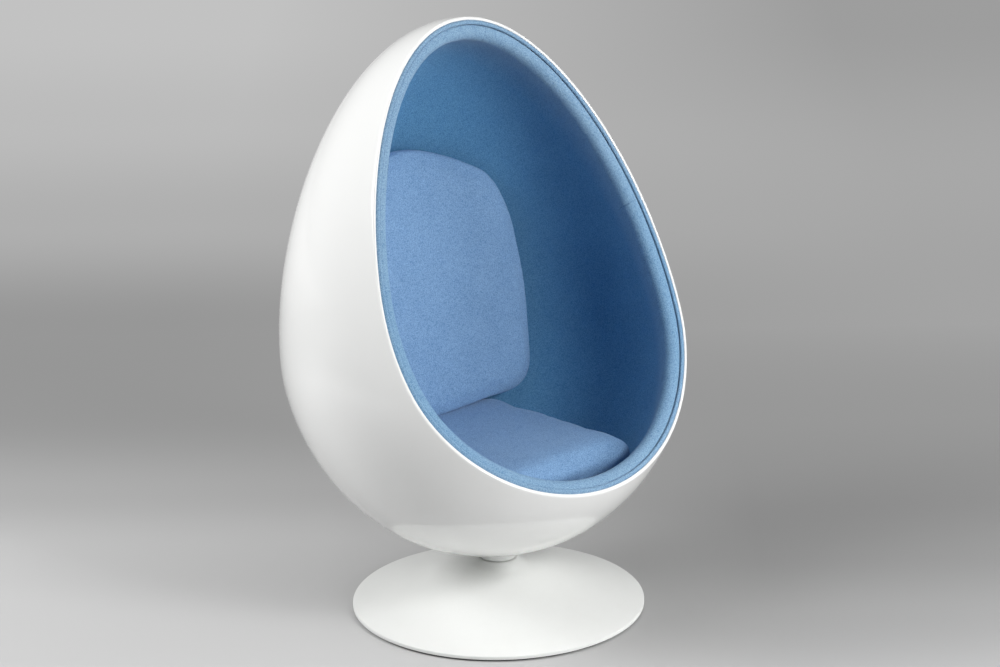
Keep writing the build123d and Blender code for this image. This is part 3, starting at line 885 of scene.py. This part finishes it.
def blown_up(piece, cap):
    """Turns the block into an even mesh and swells it as cloth over foam, but no further than
    the cap."""
    take_up(piece)
    piece.data.remesh_voxel_size = cushion_voxel
    bpy.ops.object.voxel_remesh()
    start = points_of(piece)
    cloth = piece.modifiers.new("cloth", "CLOTH")
    cloth.settings.use_pressure = True
    cloth.settings.uniform_pressure_force = cushion_pressure
    cloth.settings.effector_weights.gravity = 0
    cloth.point_cache.frame_start, cloth.point_cache.frame_end = 1, cushion_frames
    scene = bpy.context.scene
    for number in range(1, cushion_frames + 1):
        scene.frame_set(number)
    bpy.ops.object.modifier_apply(modifier="cloth")
    scene.frame_set(1)
    moved = points_of(piece) - start
    far = np.linalg.norm(moved, axis=1, keepdims=True)
    move_points(piece, start + moved * np.minimum(1, cap / np.maximum(far, 1e-9)))
    soften = piece.modifiers.new("soften", "SMOOTH")
    soften.factor, soften.iterations = 0.5, 4
    bpy.ops.object.modifier_apply(modifier="soften")
    finer = piece.modifiers.new("finer", "SUBSURF")
    finer.levels = finer.render_levels = 1
    bpy.ops.object.modifier_apply(modifier="finer")


def trued(piece, outline):
    """The plan drawn back out to the pattern's outline, which the swelling has pulled in."""
    points = points_of(piece)
    middle = outline.mean(axis=0)
    plan = points[:, :2] - middle
    angle, reach = np.arctan2(plan[:, 1], plan[:, 0]), np.hypot(*plan.T)
    edge_angle = np.arctan2(*(outline - middle).T[::-1])
    edge_reach = np.hypot(*(outline - middle).T)
    turns = np.linspace(-pi, pi, 145)[:-1]
    wanted = np.interp(turns, edge_angle, edge_reach, period=2 * pi)
    nearest = np.round((angle + pi) / (2 * pi) * len(turns)).astype(int) % len(turns)
    found = np.array([reach[nearest == k].max() for k in range(len(turns))])
    share = wanted / found
    share = sum(np.roll(share, k) for k in (-2, -1, 0, 1, 2)) / 5
    stretch = np.interp(angle, turns, share, period=2 * pi) - 1
    outer = (reach / np.interp(angle, turns, found, period=2 * pi)) ** 2
    points[:, :2] = middle + plan * (1 + stretch * outer)[:, None]
    move_points(piece, points)


def sewn(piece, origin, across, seam):
    """A stitch line at this height over a plane, and fine unevenness of the cloth over the foam."""
    points = points_of(piece)
    outwards = np.empty(len(points) * 3, np.float32)
    piece.data.vertex_normals.foreach_get("vector", outwards)
    outwards = outwards.reshape(-1, 3).astype(float)
    height = (points - np.array(origin)) @ np.array(across)
    upright = np.abs(outwards @ np.array(across)) < 0.8
    swell = [noise.noise(Vector(p) * 9.0) for p in points]
    pucker = [noise.noise(Vector((p[0] * 0.4, p[1], p[2])) * 60.0) for p in points]
    proud = 0.0011 * np.array(swell) + 0.0004 * np.array(pucker)
    stitch = np.exp(-(((height - seam) / 0.0018) ** 2))
    beside = np.exp(-(((np.abs(height - seam) - 0.006) / 0.004) ** 2))
    proud += (0.0009 * beside - 0.0019 * stitch) * upright
    move_points(piece, points + outwards * proud[:, None])


seat_plan = smooth_outline(seat_outline, 120)
seat = cushion_block("seat_cushion_blown", seat_plan, seat_levels, seat_round_top, seat_round_foot)
blown_up(seat, seat_swell)
trued(seat, seat_plan)
local = points_of(seat)
front = np.clip((seat_front - local[:, 1]) / seat_front_run, 0, 1)
local[:, 2] -= seat_front_drop * front**2 * np.clip((local[:, 2] + seat_side) / seat_side, 0, 1)
local[:, 2] = np.maximum(local[:, 2], rest_gap - seat_thickness)
move_points(seat, local)
seat.data.transform(Matrix.Translation((0, 0, seat_height)) @ Matrix.Rotation(-seat_slope, 4, "X"))
sewn(seat, (0, 0, seat_height), deck_up, seat_seam)
points = points_of(seat)
low = (points - np.array(deck_middle + deck_up * (deck_cloth + rest_gap))) @ np.array(deck_up)
points -= np.minimum(low, 0)[:, None] * np.array(deck_up)
wall_room = egg_profile(wall_inset + wall_gap)
move_points(seat, kept_inside(points, wall_room))
finish_piece(seat, "seat_cushion", 180)
blue_cushion_wool = wool("blue_cushion_wool", blue_cushion_dark, blue_cushion_light)
seat.data.materials.append(blue_cushion_wool)
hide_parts("seat_cushion_cover", "seat_cushion_foam")

# Cushion zips. A spiral zip with a small slider is sewn into the low rear side of the seat cushion's
# cover, and another under the foot of the back cushion, so that the covers come off for washing.
zip_length, zip_width, zip_pitch, zip_tooth, tape_thickness = 0.260, 0.011, 0.0025, 0.0008, 0.0008
slider, pull = ((0.011, 0.007, 0.0030), 0, 0.0014), ((0.015, 0.004, 0.0010), -0.011, 0.0022)
zip_blue = (0.030, 0.070, 0.170, 1)


def make_zip_finish():
    """Dark blue nylon tape and spiral, with a faint rib along the teeth."""
    material, shader, add, feed = new_finish("zip_nylon")
    drift = add("Group", {"node_tree": mottle}, Color=zip_blue, Scale=60.0, Spread=0.15)
    apart = add("SeparateXYZ", Vector=add("TexCoord").outputs["Object"]).outputs
    phase = work(add, "MULTIPLY", apart["X"], 2 * pi / zip_pitch)
    rib = work(add, "SINE", phase)
    feed("Base Color", drift.outputs["Color"])
    feed("Roughness", add("MapRange", i0=rib, i1=-1.0, i2=1.0, i3=0.4, i4=0.6).outputs[0])
    feed("Normal", add("Bump", Strength=0.3, Distance=0.0003, Height=rib).outputs[0])
    return material


zip_finish = make_zip_finish()


def sew_in_zip(name, cushion, body, centre, towards):
    """Tape laid on the cushion's face with a row of raised teeth, and a slider with its pull."""
    bpy.ops.object.select_all(action="DESELECT")
    columns = int(2 * zip_length / zip_pitch)
    bpy.ops.mesh.primitive_grid_add(x_subdivisions=columns, y_subdivisions=6, size=1)
    piece = bpy.context.object
    piece.name = name
    flat = points_of(piece) * np.array((zip_length, zip_width, 1))
    ahead = Vector(towards).normalized()
    beside = ahead.cross(Vector((1, 0, 0)))
    out = np.array(centre) + 0.02 * np.array(ahead)
    move_points(piece, out + flat[:, :1] * np.array((1, 0, 0)) + flat[:, 1:2] * np.array(beside))
    wrap = piece.modifiers.new("wrap", "SHRINKWRAP")
    wrap.target, wrap.wrap_mode, wrap.offset = cushion, "ABOVE_SURFACE", 0.0004
    bpy.ops.object.modifier_apply(modifier="wrap")
    points = points_of(piece)
    middle = np.abs(flat[:, 1]) < zip_width / 20
    raised = middle & (np.round((flat[:, 0] + zip_length / 2) / zip_pitch * 2) % 2 == 0)
    points[raised] += zip_tooth * np.array(ahead)
    move_points(piece, points)
    thick = piece.modifiers.new("thick", "SOLIDIFY")
    thick.thickness, thick.offset = tape_thickness, 0
    bpy.ops.object.modifier_apply(modifier="thick")
    end = points[np.argmin(np.abs(flat[:, 0] - 0.45 * zip_length) + np.abs(flat[:, 1]))]
    parts = [piece]
    for size, along, lift in (slider, pull):
        bpy.ops.mesh.primitive_cube_add(size=1)
        block = bpy.context.object
        spot = Vector(end) + ahead * lift + Vector((along, 0, 0))
        lying = Matrix((Vector((1, 0, 0)), beside, ahead)).transposed().to_4x4()
        block.data.transform(Matrix.Translation(spot) @ lying @ Matrix.Diagonal((*size, 1)))
        soft = block.modifiers.new("soft", "BEVEL")
        soft.width, soft.segments = 0.0004, 2
        bpy.ops.object.modifier_apply(modifier="soft")
        parts.append(block)
    for part in parts:
        part.select_set(True)
    bpy.context.view_layer.objects.active = piece
    bpy.ops.object.join()
    close_up()
    finish_piece(piece, body, 40)
    piece.data.materials.append(zip_finish)
    return piece


seat_zip = sew_in_zip("seat_zip_sewn", seat, "seat_cushion", (0, 0.240, 0.322), (0, 1, 0))
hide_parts("seat_cushion_zip")

# Back cushion. Made like the seat cushion, with an arched top and rounded lower corners. It stands on
# the rear of the seat and leans on the wall, whose hollow presses its shoulders forward.
back_foot_y, back_foot_z, back_lean = 0.184, 0.386, radians(11.3)
back_outline = [
    (0, 0.000), (0.110, 0.0005), (0.215, 0.003), (0.258, 0.013),
    (0.288, 0.038), (0.302, 0.080), (0.3085, 0.160), (0.3115, 0.244),
    (0.3085, 0.320), (0.3005, 0.391), (0.281, 0.453), (0.256, 0.494),
    (0.224, 0.520), (0.144, 0.560), (0.067, 0.587), (0, 0.596),
]
back_levels = [
    (-0.0010, 1, 0.0045), (-0.026, 1, 0.0035), (-0.052, 0.93, 0.0035), (-0.077, 0.80, 0.0035),
]
back_round_top, back_round_foot, back_swell = 0.013, 0.010, 0.008
shoulder_bend, shoulder_start, shoulder_run = 0.022, 0.15, 0.29
back_seam = -0.030

back_plan = smooth_outline(back_outline, 132)
back_cushion = cushion_block(
    "back_cushion_blown", back_plan, back_levels, back_round_top, back_round_foot
)
blown_up(back_cushion, back_swell)
trued(back_cushion, back_plan)
facing = np.array((0, -cos(back_lean), sin(back_lean)))
upwards = np.array((0, sin(back_lean), cos(back_lean)))
flat = points_of(back_cushion)
rise = np.clip((flat[:, 1] - shoulder_start) / shoulder_run, 0, 1)
bend = shoulder_bend * rise * rise * (3 - 2 * rise) * np.clip(np.abs(flat[:, 0]) / 0.28, 0, 1.1) ** 2
bend = (bend * np.clip((flat[:, 2] + 0.085) / 0.05, 0.3, 1))[:, None]
sideways = (flat[:, :1] - np.sign(flat[:, :1]) * 0.9 * bend) * np.array((1, 0, 0))
points = np.array((0, back_foot_y, back_foot_z)) + sideways + bend * np.array((0, -1, 0.45))
points = points + flat[:, 1:2] * upwards + flat[:, 2:3] * facing
move_points(back_cushion, kept_inside(points, wall_room))
sewn(back_cushion, (0, back_foot_y, back_foot_z), facing, back_seam)
move_points(back_cushion, kept_inside(points_of(back_cushion), wall_room))
finish_piece(back_cushion, "back_cushion", 180)
back_cushion.data.materials.append(blue_cushion_wool)
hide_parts("back_cushion_cover", "back_cushion_foam")
back_zip = sew_in_zip(
    "back_zip_sewn", back_cushion, "back_cushion", (0, 0.2315, 0.376), -Vector(upwards)
)
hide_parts("back_cushion_zip")

# Stage. A pale floor that runs into a grey backdrop, and soft lamps: two on the left, one of them behind
# the chair, three in front from low to high and round to the right, and a weak one overhead. The floor's
# colour is darker in bands on the picture's right and far behind the chair: painted shadow of the chair.
straight_back, to_the_right = (0.674, 0.738, 0), (0.738, -0.674, 0)
# Floor greys by distance behind the chair, on the left and on the right: the darker greys are painted
# shadow of the chair.
left_floor_and_painted_shadow = (-0.5, 0.52), (0.1, 0.52), (0.35, 0.54), (0.7, 0.45), (1.2, 0.36)
right_floor_and_painted_shadow = (-0.5, 0.46), (-0.1, 0.39), (0.25, 0.33), (0.6, 0.29), (1.2, 0.32)
# Greys of the backdrop's glow, which only the camera and gloss see, by distance behind the chair: the
# dark bands are painted shadows of the chair.
left_backdrop_and_painted_shadow = (0.6, 0.42), (1.3, 0.32), (2.0, 0.31), (3.0, 0.43), (4.2, 0.50), (5.6, 0.54)
right_backdrop_and_painted_shadow = (0.4, 0.30), (0.7, 0.31), (1.2, 0.36), (2.2, 0.37), (3.5, 0.39), (5.6, 0.34)
backdrop_starts, backdrop_full = 0.5, 1.9
floor_ends, walls_start = 2.3, 3.3
walls_grey, sky_tint, sky_light = (0.38, 0.38, 0.38, 1), (0.9, 0.95, 1.0, 1), 0.01

bpy.ops.mesh.primitive_plane_add(size=40)
floor = bpy.context.object
floor.name = "studio_floor"
material, shader, add, feed = new_finish("studio_floor")
shader.inputs["Roughness"].default_value = 0.7
where = add("TexCoord").outputs["Object"]
behind = add("VectorMath", {"operation": "DOT_PRODUCT"}, i0=where, i1=straight_back).outputs["Value"]
beside = add("VectorMath", {"operation": "DOT_PRODUCT"}, i0=where, i1=to_the_right).outputs["Value"]


def greys_behind(stops, nearest, farthest):
    """Greys by distance behind the chair, in metres."""
    ramp = add("ValToRGB", i0=add("MapRange", i0=behind, i1=nearest, i2=farthest).outputs[0])
    elements = ramp.color_ramp.elements
    elements.remove(elements[1])
    span = farthest - nearest
    elements[0].position, elements[0].color = (stops[0][0] - nearest) / span, (*[stops[0][1]] * 3, 1)
    for at, tone in stops[1:]:
        elements.new((at - nearest) / span).color = (tone, tone, tone, 1)
    ramp.color_ramp.interpolation = "EASE"
    return ramp.outputs[0]


def left_to_right(left_greys, right_greys, leftmost, rightmost):
    """One run of greys on the picture's left, another on its right, and a blend between them."""
    share = add("MapRange", i0=beside, i1=leftmost, i2=rightmost).outputs[0]
    return add("Mix", {"data_type": "RGBA"}, i0=share, i6=left_greys, i7=right_greys).outputs[2]


def shown_only(add):
    """One for rays from the camera and rays mirrored in a gloss, nought for those that carry light."""
    ray = add("LightPath").outputs
    return work(add, "MAXIMUM", ray["Is Camera Ray"], ray["Is Glossy Ray"])


# The floor's colour, with painted shadow in it.
floor_and_painted_shadow = left_to_right(greys_behind(left_floor_and_painted_shadow, -1, 2), greys_behind(right_floor_and_painted_shadow, -1, 2), -0.4, 0.6)
feed("Base Color", floor_and_painted_shadow)
# The backdrop's glow, with painted shadow bands in it.
backdrop_and_painted_shadow = left_to_right(greys_behind(left_backdrop_and_painted_shadow, 0, 6), greys_behind(right_backdrop_and_painted_shadow, 0, 6), -0.9, 1.3)
backdrop = add("Emission", Color=backdrop_and_painted_shadow, Strength=1.0).outputs[0]
past_chair = add("MapRange", i0=behind, i1=backdrop_starts, i2=backdrop_full).outputs[0]
away = add("VectorMath", {"operation": "LENGTH"}, i0=where).outputs["Value"]
all_round = add("MapRange", i0=away, i1=floor_ends, i2=walls_start).outputs[0]
far_off = work(add, "MAXIMUM", past_chair, all_round)
blend = work(add, "MULTIPLY", shown_only(add), far_off)
surface = add("MixShader", i0=blend, i1=shader.outputs[0], i2=backdrop).outputs[0]
tree = material.node_tree
tree.links.new(surface, tree.nodes["Material Output"].inputs["Surface"])
floor.data.materials.append(material)

for name, size, watts, at, aim_height, mirrored in (
    ("rear_lamp", (1.6, 1.6), 99, (-2.4, 2.2, 2.4), 0.7, False),
    ("left_lamp", (1.8, 1.8), 36, (-2.6, 0.6, 3.0), 0.6, True),
    ("front_lamp", (0.9, 0.9), 77, (0.25, -3.2, 2.4), 0.6, False),
    ("low_front_lamp", (1.2, 1.0), 31, (0.3, -3.4, 1.1), 0.6, True),
    ("right_lamp", (1.6, 1.6), 53, (2.6, -2.4, 1.5), 0.6, False),
    ("ceiling_lamp", (3.0, 3.0), 24, (0, 0, 3.6), 0, True),
):
    data = bpy.data.lights.new(name, "AREA")
    data.shape = "RECTANGLE"
    data.size, data.size_y = size
    data.energy = watts
    lamp = bpy.data.objects.new(name, data)
    lamp.location = at
    lamp.rotation_euler = (Vector((0, 0, aim_height)) - Vector(at)).to_track_quat("-Z", "Y").to_euler()
    lamp.visible_glossy = mirrored
    bpy.context.scene.collection.objects.link(lamp)

world = bpy.data.worlds.new("studio")
bpy.context.scene.world = world
world.use_nodes = True
tree = world.node_tree
add = adder(tree)
sky = tree.nodes["Background"]
sky.inputs["Color"].default_value, sky.inputs["Strength"].default_value = sky_tint, sky_light
walls = add("Background", Color=walls_grey).outputs[0]
around = add("MixShader", i0=shown_only(add), i1=sky.outputs[0], i2=walls).outputs[0]
tree.links.new(around, tree.nodes["World Output"].inputs["Surface"])
bpy.context.scene.view_settings.view_transform = "Standard"
